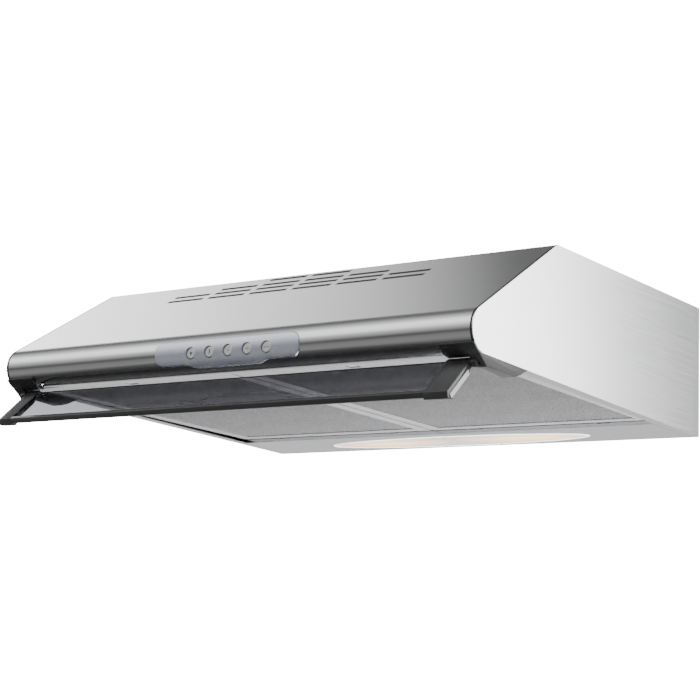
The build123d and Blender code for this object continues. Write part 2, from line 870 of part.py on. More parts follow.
def make_terminal_box():
    x, y = box_corner()
    body = block(x, x + box_size[0], y, y + box_size[1], -sheet - box_size[2], -sheet)
    w = box_wall
    body -= block(x + w, x + box_size[0] - w, y + w, y + box_size[1] - w, -sheet - box_size[2] + w, -sheet - w)
    return body - pole(gland_radius + gland_clear, gland_x, gland_y, -3 * box_wall, 0)


def make_cable_gland():
    """Cable gland flush with the top, its flange under the roof of the terminal box."""
    roof = -sheet - box_wall
    gland = pole(gland_radius, gland_x, gland_y, -gland_length, 0)
    gland += pole(gland_flange, gland_x, gland_y, roof - gland_flange_sheet, roof)
    return gland - pole(gland_bore, gland_x, gland_y, -2 * gland_length, gland_length)


def make_capacitor():
    """Motor capacitor on its foot, under the top panel."""
    radius = 13.0
    z = -sheet - 4 - radius
    can = rod(radius, 130, 186, 40, z)
    return can + block(138, 178, 30, 50, -sheet - 8, -sheet)


def loom_path():
    """Route of the wiring: up from the switches, back under the top panel, across to the terminal box."""
    x, y = box_corner()
    high = -sheet - 14
    start = (fascia_x - switch_half + 12, nose_y + switch_back, nose_z)
    return [
        start,
        (start[0], start[1] + 40, nose_z),
        (start[0] - 25, start[1] + 75, nose_z + 24),
        (-120, -150, -50),
        (-150, -100, high - 6),
        (-175, -40, high),
        (-190, 20, high),
        (gland_x, y - 30, high),
        (gland_x, y, high),
    ]


def make_loom():
    """Sleeved loom with the largest bends that its runs allow."""
    points = [Vector(*p) for p in loom_path()]
    radii = []
    for a, b, c in zip(points, points[1:], points[2:]):
        turn = math.radians((b - a).get_angle(c - b))
        radii.append(0.45 * min((b - a).length, (c - b).length) / math.tan(turn / 2))
    print("loom bend radii", [round(r) for r in radii])
    path = FilletPolyline(*points, radius=radii)
    start = path @ 0
    seat = Plane(origin=start, z_dir=path % 0)
    return sweep(seat * Circle(loom_radius), path=path)


# ---- fixings ----
def screw(place, length):
    """Pan-head screw along +Z of its place, with its head under the face at the place."""
    shank = Pos(0, 0, length / 2) * Cylinder(fixing_radius, length)
    head = Pos(0, 0, -fixing_head_height / 2) * Cylinder(fixing_head, fixing_head_height)
    return place * (head + shank)


def collar_screw_places():
    radius = spigot_radius + collar_flange / 2
    turns = [math.radians(45 + 90 * i) for i in range(4)]
    return [(radius * math.cos(t), outlet_y + radius * math.sin(t)) for t in turns]


def make_collar_screws():
    length = sheet + collar_sheet + housing_wall
    screws = [screw(Pos(x, y, -length), length) for x, y in collar_screw_places()]
    return Compound(children=screws)


def drill_collar_screws(shape):
    for x, y in collar_screw_places():
        shape -= pole(fixing_radius, x, y, -20, 1)
    return shape


# ---- build ----
front_panel = make_front_panel()
save("front_panel", front_panel)
save("top_panel", drill_collar_screws(make_top_panel()))
save("back_panel", make_back_panel())
side_panel = make_side_panel()
save("side_panel_right", side_panel)
save("side_panel_left", mirrored(side_panel))
trim = make_edge_trim()
save("edge_trim_right", trim)
save("edge_trim_left", mirrored(trim))
save("lamp_panel", make_lamp_panel())
save("control_fascia", make_fascia())
for button_name, button_x in zip(button_names, button_xs):
    save(button_name, make_button(button_x))
save("switch_block", make_switch_block())
save("lamp_lens", make_lens())
save("lens_hinge_pins", make_lens_pins())
save("lamp_tray", make_lamp_tray())
for piece, made in (
    ("lamp_holder", make_lamp_holder()),
    ("lamp_bulb", make_lamp_bulb()),
    ("filter_frame", make_filter_frame()),
    ("filter_mesh", make_filter_mesh()),
    ("filter_latch", make_filter_latch()),
    ("visor_side_strip", make_side_strip()),
    ("visor_bracket", make_visor_bracket()),
    ("visor_pin", make_visor_pin()),
    ("impeller", make_impeller()),
):
    save(f"{piece}_right", made)
    save(f"{piece}_left", mirrored(made))
save("visor_glass", make_glass())
save("visor_edge_trim", make_visor_edge())
save("visor_arm_right", make_visor_arm(arm_width_right))
save("visor_arm_left", mirrored(make_visor_arm(arm_width_left)))
housing_upper, housing_lower = make_housing()
save("blower_housing_upper", drill_collar_screws(housing_upper))
save("blower_housing_lower", housing_lower)
save("motor_case", make_motor_case())
save("motor_bearings", make_bearings())
save("motor_stator", make_stator())
save("motor_rotor", make_rotor())
save("motor_cradle", make_motor_cradle())
save("motor_bushes", make_motor_bushes())
save("outlet_collar", drill_collar_screws(make_collar()))
save("collar_screws", make_collar_screws())
save("damper_pin", make_flap_pin())
save("damper_flap_left", make_flap(-1))
save("damper_flap_right", make_flap(1))
save("terminal_box", make_terminal_box())
save("cable_gland", make_cable_gland())
save("capacitor", make_capacitor())
save("wiring_loom", make_loom())
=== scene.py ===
import math

import bmesh
import bpy
from bpy.props import FloatProperty, FloatVectorProperty, PointerProperty
from mathutils import Matrix, Vector


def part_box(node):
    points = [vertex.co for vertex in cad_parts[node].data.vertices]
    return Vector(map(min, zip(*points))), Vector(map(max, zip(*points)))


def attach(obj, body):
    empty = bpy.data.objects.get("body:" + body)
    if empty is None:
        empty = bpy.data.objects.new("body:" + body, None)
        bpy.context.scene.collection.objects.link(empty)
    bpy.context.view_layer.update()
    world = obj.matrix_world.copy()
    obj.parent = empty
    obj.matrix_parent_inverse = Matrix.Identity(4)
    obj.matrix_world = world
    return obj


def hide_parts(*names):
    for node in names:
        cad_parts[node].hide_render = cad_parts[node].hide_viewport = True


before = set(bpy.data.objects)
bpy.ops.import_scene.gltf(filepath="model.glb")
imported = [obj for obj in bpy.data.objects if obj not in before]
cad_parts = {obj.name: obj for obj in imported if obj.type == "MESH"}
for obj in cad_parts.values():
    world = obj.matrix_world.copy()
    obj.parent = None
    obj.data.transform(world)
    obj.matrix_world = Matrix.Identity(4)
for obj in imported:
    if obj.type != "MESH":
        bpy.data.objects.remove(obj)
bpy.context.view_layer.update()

bl_info = {
    "name": "Range hood builder",
    "version": (1, 0, 0),
    "blender": (4, 5, 0),
    "location": "View3D > Sidebar > Range hood",
    "description": "Builds the looks of an under-cabinet range hood around its fixed frame",
    "category": "Object",
}

MM = 0.001
SIDES = ("left", "right")
BUTTONS = ("button_light", "button_stop", "button_speed_1", "button_speed_2", "button_speed_3")

LENS_LOW, LENS_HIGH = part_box("lamp_lens")
FASCIA_LOW, FASCIA_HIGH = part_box("control_fascia")

# Camera: where it stands in metres, how it is turned in radians, and its lens in millimetres.
CAMERA_PLACE = (1.05868, -1.51844, -0.38416)
CAMERA_YAW, CAMERA_PITCH, CAMERA_ROLL = -0.59034, 0.18958, 0.03651
SENSOR, FOCAL = 36, 83.589069
SHIFT_X, SHIFT_Y = -0.1142857, -0.0314286
FLOOR_HEIGHT, FLOOR_HALF = -1.9, 4
BACKDROP = 18.0

# Vent slots: how far each row lies below the top bend, and half its length, in millimetres.
TOP_BEND_Y = -167
SLOPE_FACING = (0, -0.54, 0.84)
VENT_ROWS = ((48.2, 172), (35.2, 172), (22.7, 114), (8.2, 55))
# The black painted-shade insert behind each row: half its height, and how deep its front and back lie under the
# steel's face, in millimetres.
VENT_REACH, VENT_FRONT, VENT_BACK = 4.0, 0.3, 0.8

# Control plate, in millimetres: the roll it wraps, its wall and bevel, and its outline.
NOSE_RADIUS, PLATE, BEVEL_WIDTH, BEVEL_DROP = 22.0, 2.0, 0.8, 0.55
PLATE_HALF, PLATE_TOP, PLATE_LOW, PLATE_CORNER = 92.0, 10.0, -14.0, 8.6
BULGE_LOW, BULGE_START, BULGE_RUN, BULGE_STEPS = -17.6, 56.0, 19.0, 12
CORNER_STEPS = 8
HOLE_RADIUS, HOLE_SEGMENTS = 6.1, 40

# Marks raised on the caps, in millimetres.
MARK_HEIGHT = 0.35
WEDGE_FOOT, WEDGE_TOP = 2.8, 2.3
STOP_HALF_WIDTH, STOP_HALF_LENGTH, STOP_HALF_HEIGHT = 0.5, 2.4, 0.18
PIP_FOOT, PIP_TOP, PIP_PITCH = 0.95, 0.6, 2.4

# Grease filters, in millimetres: the net's border and depth, and the row of crimp slots.
NET_BORDER, NET_DEPTH, NET_SPARE = 14, 1.2, 4
CRIMP_PITCH, CRIMP_LENGTH, CRIMP_WIDTH, CRIMP_INSET = 5.2, 3.3, 1.3, 17.2
CRIMP_START, CRIMP_ENDS, CRIMP_FLOOR, CRIMP_FACE = 13, 24, -0.2, 0.06
# Painted shade: the foil's colour is darkened all over by these factors, to the darkness of the visor's shadow on
# the filters' front.
FOIL_PAINTED_SHADE = (0.42, 0.42, 0.4326)

# Lamp lens, in millimetres: its rim's profile, as a step outward and a step inward, and its catches.
LENS_HALF_DEPTH = 34
RIM_EDGE, RIM_SUNK, RIM_SEGMENTS = 1.2, 0.3, 160
RIM_PROFILE = ((0.9, 1.2), (0.0, 2.0), (-0.9, 1.2))
CATCH_PLACES, CATCH_INSET, CATCH_HALF_WIDTH, CATCH_HALF_DEPTH = (-13, 1), 7, 2.6, 1.6
CATCH_FOOT, CATCH_TOP, CATCH_ROUND = -0.2, 1.1, 0.5
# Painted glow: reach of the warm emission painted on the lens round each bulb, in metres along X, Y and Z.
PAINTED_GLOW_REACH = (0.1, 0.03, 0.05)


def linear(code):
    """An sRGB hex colour as linear red, green, blue and alpha."""
    parts = [int(code[i : i + 2], 16) / 255 for i in (1, 3, 5)]
    return [p / 12.92 if p <= 0.04045 else ((p + 0.055) / 1.055) ** 2.4 for p in parts] + [1.0]


def per_mm(size):
    """Texture scale, in cycles per metre, for a feature of so many millimetres."""
    return 1 / (size * MM)


# ---- sizes and colours that a user would change ----
class HoodSizes(bpy.types.PropertyGroup):
    """Sizes of the drawn detail"""

    edge: FloatProperty(
        name="Edge rounding", description="Radius on the moulded and folded edges",
        default=0.5 * MM, min=0.05 * MM, max=2 * MM, precision=5, unit="LENGTH",
    )
    diamond_long: FloatProperty(
        name="Mesh diamond length", description="Length of one opening of the filter mesh, across the hood",
        default=7.0 * MM, min=3 * MM, max=30 * MM, precision=5, unit="LENGTH",
    )
    diamond_short: FloatProperty(
        name="Mesh diamond width", description="Width of one opening of the filter mesh, front to back",
        default=4.6 * MM, min=2 * MM, max=20 * MM, precision=5, unit="LENGTH",
    )
    strand: FloatProperty(
        name="Mesh strand", description="Width of one strand of the filter mesh",
        default=0.55 * MM, min=0.2 * MM, max=3 * MM, precision=5, unit="LENGTH",
    )
    brushing: FloatProperty(
        name="Brushing", description="Spacing of the brush lines on the steel, drawn coarser than real grit",
        default=0.9 * MM, min=0.1 * MM, max=5 * MM, precision=5, unit="LENGTH",
    )


class HoodColours(bpy.types.PropertyGroup):
    """Base colours of the main materials"""

    steel: FloatVectorProperty(
        name="Steel", description="Brushed stainless sheet", subtype="COLOR", size=4,
        default=linear("#c9cacb"), min=0, max=1,
    )
    black: FloatVectorProperty(
        name="Black plastic", description="Visor arms, brackets and edge", subtype="COLOR", size=4,
        default=linear("#1d1e1e"), min=0, max=1,
    )
    fascia: FloatVectorProperty(
        name="Fascia", description="Silver lacquer of the control plate", subtype="COLOR", size=4,
        default=linear("#b3b6c2"), min=0, max=1,
    )
    glass: FloatVectorProperty(
        name="Smoked glass", description="Tint of the visor", subtype="COLOR", size=4,
        default=linear("#84858a"), min=0, max=1,
    )
    foil: FloatVectorProperty(
        name="Filter foil", description="Expanded aluminium of the grease filters", subtype="COLOR", size=4,
        default=linear("#dededd"), min=0, max=1,
    )
    lens: FloatVectorProperty(
        name="Lamp lens", description="Opal lamp cover", subtype="COLOR", size=4,
        default=linear("#8c8a84"), min=0, max=1,
    )


# ---- materials ----
def add(tree, kind, settings=None, links=None):
    """Add a node with its settings, which are socket values or node attributes, and its links."""
    node = tree.nodes.new(kind)
    for name, value in (settings or {}).items():
        if isinstance(name, int) or name in node.inputs:
            node.inputs[name].default_value = value
        else:
            setattr(node, name, value)
    for socket, source in (links or {}).items():
        tree.links.new(source, node.inputs[socket])
    return node


def start(name):
    """An empty node material with its output, and the object's own coordinates."""
    material = bpy.data.materials.new(name)
    material.use_nodes = True
    tree = material.node_tree
    tree.nodes.clear()
    where = add(tree, "ShaderNodeTexCoord").outputs["Object"]
    return material, tree, where


def finish_material(material, settings, links):
    """Close a material with its surface shader."""
    tree = material.node_tree
    shader = add(tree, "ShaderNodeBsdfPrincipled", settings, links)
    add(tree, "ShaderNodeOutputMaterial", links={"Surface": shader.outputs[0]})
    return material


def spread(tree, value, low, high):
    """Map a 0 to 1 pattern to a range."""
    return add(tree, "ShaderNodeMapRange", {"To Min": low, "To Max": high}, {"Value": value}).outputs[0]


def tinted(tree, value, dark, light):
    """Mix two colours by a pattern."""
    mix = add(
        tree, "ShaderNodeMix", {"data_type": "RGBA", 6: dark, 7: light}, {0: value}
    )
    return mix.outputs[2]


def shade(colour, factor):
    """A darker or lighter copy of a colour."""
    return [min(1.0, c * factor) for c in colour[:3]] + [1.0]


def bump(tree, height, distance, strength=1.0, normal=None):
    """Turn a pattern into a surface normal, on top of another one if it's given."""
    links = {"Height": height}
    if normal:
        links["Normal"] = normal
    node = add(tree, "ShaderNodeBump", {"Distance": distance, "Strength": strength}, links)
    return node.outputs[0]


def noise(tree, where, size, stretch=(1, 1, 1), detail=3.0, rough=0.5):
    """Noise with features of so many millimetres, stretched along the axes."""
    seat = add(tree, "ShaderNodeMapping", {"Scale": [1 / s for s in stretch]}, {"Vector": where})
    node = add(
        tree, "ShaderNodeTexNoise",
        {"Scale": per_mm(size), "Detail": detail, "Roughness": rough}, {"Vector": seat.outputs[0]},
    )
    return node.outputs["Fac"]


def brushed_steel(name, colour, line, along, roughness=0.24):
    """430 stainless sheet, belt brushed: fine parallel lines that blur reflections across them."""
    material, tree, where = start(name)
    stretch = [1.0, 1.0, 1.0]
    stretch["XYZ".index(along)] = 90.0
    lines = noise(tree, where, line / MM, stretch, 4.0, 0.6)
    clouds = noise(tree, where, 120, (1, 1, 1), 2.0)
    mix = add(tree, "ShaderNodeMix", {"data_type": "FLOAT", 0: 0.25}, {2: lines, 3: clouds}).outputs[0]
    tone = tinted(tree, lines, shade(colour, 0.86), shade(colour, 1.06))
    rough = spread(tree, mix, roughness * 0.75, roughness * 1.35)
    normal = bump(tree, lines, 0.012 * MM, 0.35)
    return finish_material(
        material, {"Metallic": 1.0}, {"Base Color": tone, "Roughness": rough, "Normal": normal}
    )


def galvanised_steel(name):
    """Hot-dip galvanised sheet: dull grey with spangles about 9 mm across."""
    material, tree, where = start(name)
    spangle = add(tree, "ShaderNodeTexVoronoi", {"Scale": per_mm(9)}, {"Vector": where}).outputs["Color"]
    value = add(tree, "ShaderNodeSeparateColor", links={0: spangle}).outputs[0]
    tone = tinted(tree, value, linear("#8b8e91"), linear("#a9acae"))
    rough = spread(tree, value, 0.42, 0.6)
    fine = noise(tree, where, 1.5)
    return finish_material(
        material, {"Metallic": 0.9},
        {"Base Color": tone, "Roughness": rough, "Normal": bump(tree, fine, 0.02 * MM, 0.4)},
    )


def moulded(name, colour, roughness, grain=0.6, depth=0.03, coat=0.0):
    """Injection-moulded plastic with a fine spark-eroded grain."""
    material, tree, where = start(name)
    fine = noise(tree, where, grain, (1, 1, 1), 2.0)
    wide = noise(tree, where, 25, (1, 1, 1), 2.0)
    tone = tinted(tree, wide, shade(colour, 0.85), shade(colour, 1.2))
    rough = spread(tree, fine, roughness * 0.85, roughness * 1.2)
    return finish_material(
        material, {"Metallic": 0.0, "IOR": 1.5, "Coat Weight": coat},
        {"Base Color": tone, "Roughness": rough, "Normal": bump(tree, fine, depth * MM, 0.5)},
    )


def lacquered_silver(name, colour, flake=0.35, roughness=0.32, metallic=0.75):
    """Silver metallic lacquer: fine aluminium flake under a satin clear coat."""
    material, tree, where = start(name)
    flakes = add(tree, "ShaderNodeTexVoronoi", {"Scale": per_mm(flake)}, {"Vector": where}).outputs["Color"]
    value = add(tree, "ShaderNodeSeparateColor", links={0: flakes}).outputs[0]
    tone = tinted(tree, value, shade(colour, 0.88), shade(colour, 1.1))
    wide = noise(tree, where, 30)
    rough = spread(tree, wide, roughness * 0.85, roughness * 1.15)
    return finish_material(
        material, {"Metallic": metallic, "Coat Weight": 0.4, "Coat Roughness": 0.12},
        {"Base Color": tone, "Roughness": rough, "Normal": bump(tree, value, 0.004 * MM, 0.4)},
    )


def plated(name, colour, roughness=0.2):
    """Zinc-plated turned steel: bright, with a faint lathe pattern."""
    material, tree, where = start(name)
    rings = noise(tree, where, 0.5, (1, 1, 1), 2.0)
    tone = tinted(tree, rings, shade(colour, 0.85), shade(colour, 1.05))
    return finish_material(
        material, {"Metallic": 1.0},
        {"Base Color": tone, "Roughness": spread(tree, rings, roughness * 0.8, roughness * 1.3)},
    )


def expanded_foil(name, colour):
    """Expanded aluminium foil, matt from degreasing, its colour darkened all over by painted shade: a close
    diamond grain that catches soft light.
    """
    material, tree, where = start(name)
    # Painted shade: the foil's colour darkened all over.
    colour = [c * painted_shade for c, painted_shade in zip(colour, FOIL_PAINTED_SHADE)] + [1.0]
    seat = add(tree, "ShaderNodeMapping", {"Scale": (0.62, 1, 1)}, {"Vector": where}).outputs[0]
    cell = add(
        tree, "ShaderNodeTexVoronoi",
        {"Scale": per_mm(2.2), "feature": "F1", "Randomness": 0.75}, {"Vector": seat},
    ).outputs["Distance"]
    grain = noise(tree, where, 1.6, (1.6, 1, 1), 3.0, 0.6)
    tone = tinted(tree, spread(tree, cell, 0.0, 1.6), shade(colour, 1.06), shade(colour, 0.72))
    normal = bump(tree, cell, 0.3 * MM, 0.5)
    normal = bump(tree, grain, 0.3 * MM, 0.4, normal)
    return finish_material(
        material, {"Metallic": 0.15, "Roughness": 0.5}, {"Base Color": tone, "Normal": normal}
    )


def smoked_glass(name, tint):
    """Body-tinted float glass: dark grey, polished, with the faintest waviness."""
    material, tree, where = start(name)
    wave = noise(tree, where, 60, (1, 1, 1), 1.0)
    tone = tinted(tree, wave, shade(tint, 0.97), shade(tint, 1.03))
    return finish_material(
        material, {"Roughness": 0.02, "IOR": 1.5, "Transmission Weight": 1.0},
        {"Base Color": tone, "Normal": bump(tree, wave, 0.02 * MM, 0.3)},
    )


def opal_lens(name, colour, centre, bulbs):
    """Opal acrylic with moulded cross ribs: milky, with a warm glow painted on as emission where a bulb is close
    behind it.
    """
    material, tree, where = start(name)
    ribs = add(
        tree, "ShaderNodeTexWave", {"Scale": per_mm(4) / 2, "bands_direction": "X"}, {"Vector": where}
    ).outputs["Fac"]
    scale = [1 / reach for reach in PAINTED_GLOW_REACH]
    glow = None
    # Painted glow: a spot of warm emission painted on the lens round each bulb's place.
    for x in bulbs:
        offset = [-place * part for place, part in zip((x, centre[1], centre[2]), scale)]
        place = add(
            tree, "ShaderNodeMapping", {"Location": offset, "Scale": scale}, {"Vector": where}
        )
        spot = add(
            tree, "ShaderNodeTexGradient", {"gradient_type": "SPHERICAL"}, {"Vector": place.outputs[0]}
        ).outputs["Fac"]
        if glow:
            glow = add(tree, "ShaderNodeMath", {"operation": "ADD"}, {0: glow, 1: spot}).outputs[0]
        else:
            glow = spot
    warm = add(tree, "ShaderNodeValToRGB", links={0: glow})
    ramp = warm.color_ramp
    ramp.elements[0].color = linear("#000000")
    ramp.elements[1].color = linear("#ffca4a")
    middle = ramp.elements.new(0.35)
    middle.color = linear("#b8641c")
    tone = tinted(tree, ribs, shade(colour, 0.93), colour)
    return finish_material(
        material,
        {"Roughness": 0.45, "IOR": 1.49, "Specular IOR Level": 0.2, "Emission Strength": 2.0},
        {"Base Color": tone, "Emission Color": warm.outputs[0], "Normal": bump(tree, ribs, 0.25 * MM, 0.5)},
    )


def lit_bulb(name):
    """Frosted lamp envelope, glowing warm."""
    material, tree, where = start(name)
    frost = noise(tree, where, 0.8)
    tone = tinted(tree, frost, linear("#fff0cf"), linear("#ffe0a0"))
    return finish_material(
        material, {"Roughness": 0.4, "Emission Strength": 6.0},
        {"Base Color": tone, "Emission Color": tone, "Normal": bump(tree, frost, 0.02 * MM, 0.3)},
    )


def give(material, *names):
    """Put one material on CAD nodes."""
    for name in names:
        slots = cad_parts[name].data.materials
        slots.clear()
        slots.append(material)


# ---- mesh tools ----
def finish_piece(bm, name, material, body, slot, *nodes, smooth=40):
    """Turn a bmesh into a piece at the origin that rides on a body."""
    bmesh.ops.recalc_face_normals(bm, faces=bm.faces)
    mesh = bpy.data.meshes.new(name)
    bm.to_mesh(mesh)
    bm.free()
    mesh.materials.append(material)
    piece = bpy.data.objects.new(name, mesh)
    bpy.context.scene.collection.objects.link(piece)
    mesh.shade_smooth()
    mesh.set_sharp_from_angle(angle=math.radians(smooth))
    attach(piece, body)
    if nodes:
        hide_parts(*nodes)
    return piece


def node_mesh(node):
    """A merged copy of a CAD node's mesh with its flat faces joined up."""
    bm = bmesh.new()
    bm.from_mesh(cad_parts[node].data)
    bmesh.ops.remove_doubles(bm, verts=bm.verts, dist=0.002 * MM)
    bmesh.ops.dissolve_limit(bm, angle_limit=math.radians(0.5), verts=bm.verts, edges=bm.edges)
    return bm


def softened(node, name, material, body, slot, edge, segments=2, sharper=35):
    """A CAD node's shape with its edges rounded."""
    bm = node_mesh(node)
    edges = [e for e in bm.edges if len(e.link_faces) == 2 and e.calc_face_angle() > math.radians(sharper)]
    bmesh.ops.bevel(
        bm, geom=edges, offset=edge, offset_type="OFFSET", segments=segments, profile=0.5,
        affect="EDGES", clamp_overlap=True, material=-1,
    )
    return finish_piece(bm, name, material, body, slot, node)


def plane_of(node, facing=(0, 0, -1)):
    """Where a CAD node's flat face lies: its matrix (Z out of the face), and the node's corners seen in it."""
    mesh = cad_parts[node].data
    aim = Vector(facing).normalized()
    face = max((p for p in mesh.polygons if p.normal.dot(aim) > 0.95), key=lambda p: p.area)
    out = face.normal.copy()
    across = Vector((1, 0, 0))
    along = out.cross(across)
    spot = mesh.vertices[face.vertices[0]].co.copy()
    spot.x = 0
    seat = Matrix.Translation(spot) @ Matrix((across, along, out)).transposed().to_4x4()
    inside = [seat.inverted() @ v.co for v in mesh.vertices]
    low = Vector(min(v[i] for v in inside) for i in range(3))
    high = Vector(max(v[i] for v in inside) for i in range(3))
    return seat, low, high


def add_bar(bm, seat, x0, x1, y0, y1, z0, z1):
    """A block between two corners, in a seat's own axes."""
    size = Matrix.Diagonal((x1 - x0, y1 - y0, z1 - z0, 1))
    middle = Matrix.Translation(((x0 + x1) / 2, (y0 + y1) / 2, (z0 + z1) / 2))
    return bmesh.ops.create_cube(bm, size=1, matrix=seat @ middle @ size)["verts"]


# ---- stage ----
class HOOD_OT_stage(bpy.types.Operator):
    """Camera, soft studio light, pale floor and sky"""

    bl_idname = "hood.stage"
    bl_label = "Stage"

    def execute(self, context):
        scene = context.scene
        data = bpy.data.cameras.new("camera")
        camera = bpy.data.objects.new("camera", data)
        scene.collection.objects.link(camera)
        yaw, pitch, roll = CAMERA_YAW, CAMERA_PITCH, CAMERA_ROLL
        ahead = Vector((math.sin(yaw) * math.cos(pitch), math.cos(yaw) * math.cos(pitch), math.sin(pitch)))
        level = Vector((math.cos(yaw), -math.sin(yaw), 0))
        upright = level.cross(ahead)
        right = level * math.cos(roll) + upright * math.sin(roll)
        up = upright * math.cos(roll) - level * math.sin(roll)
        turn = Matrix((right, up, -ahead)).transposed().to_4x4()
        camera.matrix_world = Matrix.Translation(CAMERA_PLACE) @ turn
        data.sensor_width = SENSOR
        data.lens = FOCAL
        data.shift_x = SHIFT_X
        data.shift_y = SHIFT_Y
        data.clip_end = 50
        scene.camera = camera

        for name, place, aim, size, power, tone in (
            ("key", (-0.6, -1.4, 1.9), (0, -0.1, 0), (1.6, 1.2), 60, "#ffffff"),
            ("fill_below", (0.15, 0.35, -1.0), (0, 0.1, -0.14), (1.2, 0.6), 62, "#fdfdff"),
            ("side", (2.4, -0.3, 0.3), (0.2, 0, -0.1), (1.2, 1.2), 20, "#ffffff"),
        ):
            lamp = bpy.data.lights.new(name, "AREA")
            lamp.shape = "RECTANGLE"
            lamp.size, lamp.size_y = size
            lamp.energy = power
            lamp.color = linear(tone)[:3]
            light = bpy.data.objects.new(name, lamp)
            scene.collection.objects.link(light)
            light.matrix_world = Matrix.Translation(place) @ (
                (Vector(aim) - Vector(place)).to_track_quat("-Z", "Y").to_matrix().to_4x4()
            )
            light.visible_glossy = False

        bm = bmesh.new()
        bmesh.ops.create_grid(bm, x_segments=1, y_segments=1, size=FLOOR_HALF)
        bmesh.ops.translate(bm, verts=bm.verts, vec=(0, 0, FLOOR_HEIGHT))
        mesh = bpy.data.meshes.new("floor")
        bm.to_mesh(mesh)
        bm.free()
        floor = bpy.data.objects.new("floor", mesh)
        scene.collection.objects.link(floor)
        material, tree, where = start("matt_floor_paint")
        speck = noise(tree, where, 40)
        tone = tinted(tree, speck, linear("#ececec"), linear("#f2f2f2"))
        mesh.materials.append(finish_material(material, {"Roughness": 0.9}, {"Base Color": tone}))
        floor.visible_glossy = False
        floor.visible_transmission = False

        world = bpy.data.worlds.new("soft_studio")
        scene.world = world
        world.use_nodes = True
        tree = world.node_tree
        tree.nodes.clear()
        # The sky is lit in bands round the X axis, seen only in reflections; behind the hood it changes across X.
        way = add(tree, "ShaderNodeTexCoord").outputs["Generated"]
        axes = add(tree, "ShaderNodeSeparateXYZ", links={0: way}).outputs
        across = self.ramp(tree, axes[0], -1, 1, (
            (-1.0, 4.6), (-0.76, 4.4), (-0.64, 1.9), (-0.5, 0.2), (0.0, 0.2), (0.37, 0.3), (0.415, 0.6),
            (0.45, 2.0), (0.5, 8.0), (1.0, 9.0),
        ))
        around = add(tree, "ShaderNodeMath", {"operation": "MULTIPLY", 1: -1.0}, {0: axes[1]}).outputs[0]
        around = add(tree, "ShaderNodeMath", {"operation": "ARCTAN2"}, {0: axes[2], 1: around}).outputs[0]
        around = add(tree, "ShaderNodeMath", {"operation": "DEGREES"}, {0: around}).outputs[0]
        bands = self.ramp(tree, around, -180, 180, (
            (-180, 0.95), (-150, 0.9), (-141, 0.2), (-132, 0.05), (-75, 0.04), (-60, 0.06), (-45, 0.26),
            (-33, 0.4), (-16, 0.34), (-3, 0.12), (5, 0.35), (20, 0.9), (42, 2.5), (54, 2.5), (70, 1.2),
            (90, 0.4), (104, 0.22), (116, 0.24), (180, 0.24),
        ))
        behind = self.ramp(tree, around, -180, 180, ((-170, 0.0), (114, 0.0), (124, 1.0), (180, 1.0)))
        sky = add(tree, "ShaderNodeMix", {"data_type": "FLOAT"}, {0: behind, 2: bands, 3: across}).outputs[0]
        seen = add(tree, "ShaderNodeLightPath").outputs["Is Camera Ray"]
        sky = add(tree, "ShaderNodeMix", {"data_type": "FLOAT", 3: BACKDROP}, {0: seen, 2: sky}).outputs[0]
        back = add(tree, "ShaderNodeBackground", {"Color": (1, 1, 1, 1)}, {"Strength": sky})
        add(tree, "ShaderNodeOutputWorld", links={0: back.outputs[0]})
        return {"FINISHED"}

    def ramp(self, tree, value, low, high, stops):
        """Read a value through a list of (value, brightness) stops."""
        part = add(tree, "ShaderNodeMapRange", {"From Min": low, "From Max": high}, {"Value": value}).outputs[0]
        node = add(tree, "ShaderNodeValToRGB", links={0: part})
        colours = node.color_ramp
        for i, (at, bright) in enumerate(stops):
            place = (at - low) / (high - low)
            if i < 2:
                stop = colours.elements[i]
                stop.position = place
            else:
                stop = colours.elements.new(place)
            stop.color = (bright, bright, bright, 1)
        return node.outputs[0]


# ---- canopy ----
class HOOD_OT_canopy(bpy.types.Operator):
    """Steel panels, black gaskets and the back and top sheets"""

    bl_idname = "hood.canopy"
    bl_label = "Canopy"

    def execute(self, context):
        sizes, colours = context.scene.hood_sizes, context.scene.hood_colours
        steel = list(colours.steel)
        front = brushed_steel("brushed_stainless_across", steel, sizes.brushing, "X", 0.15)
        flank = brushed_steel("brushed_stainless_side", steel, sizes.brushing, "Y", 0.13)
        gasket = moulded("epdm_gasket", linear("#0c0c0d"), 0.8, 0.8)
        give(front, "front_panel", "lamp_panel")
        give(flank, "side_panel_left", "side_panel_right")
        give(gasket, "edge_trim_left", "edge_trim_right", "motor_bushes")
        give(galvanised_steel("galvanised_sheet"), "top_panel", "back_panel", "lamp_tray", "motor_cradle")
        # Painted shade: a black sheet behind the vent slots stands in for the shade inside the hood.
        self.vent_shade_insert(moulded("vent_shade_black", linear("#0d0d0e"), 0.7, 0.8))
        return {"FINISHED"}

    def vent_shade_insert(self, material):
        """Black insert that fills the slots from behind, just under the steel's outer face: painted shade for the
        dark hollow of the hood behind them.
        """
        seat, _, _ = plane_of("front_panel", SLOPE_FACING)
        top = (seat.inverted() @ Vector((0, TOP_BEND_Y * MM, 0))).y
        reach = VENT_REACH * MM
        bm = bmesh.new()
        for down, half in VENT_ROWS:
            middle = top - down * MM
            add_bar(
                bm, seat, -half * MM, half * MM, middle - reach, middle + reach, -VENT_BACK * MM, -VENT_FRONT * MM
            )
        finish_piece(bm, "vent_shade_insert", material, "hood", "black_plastic")


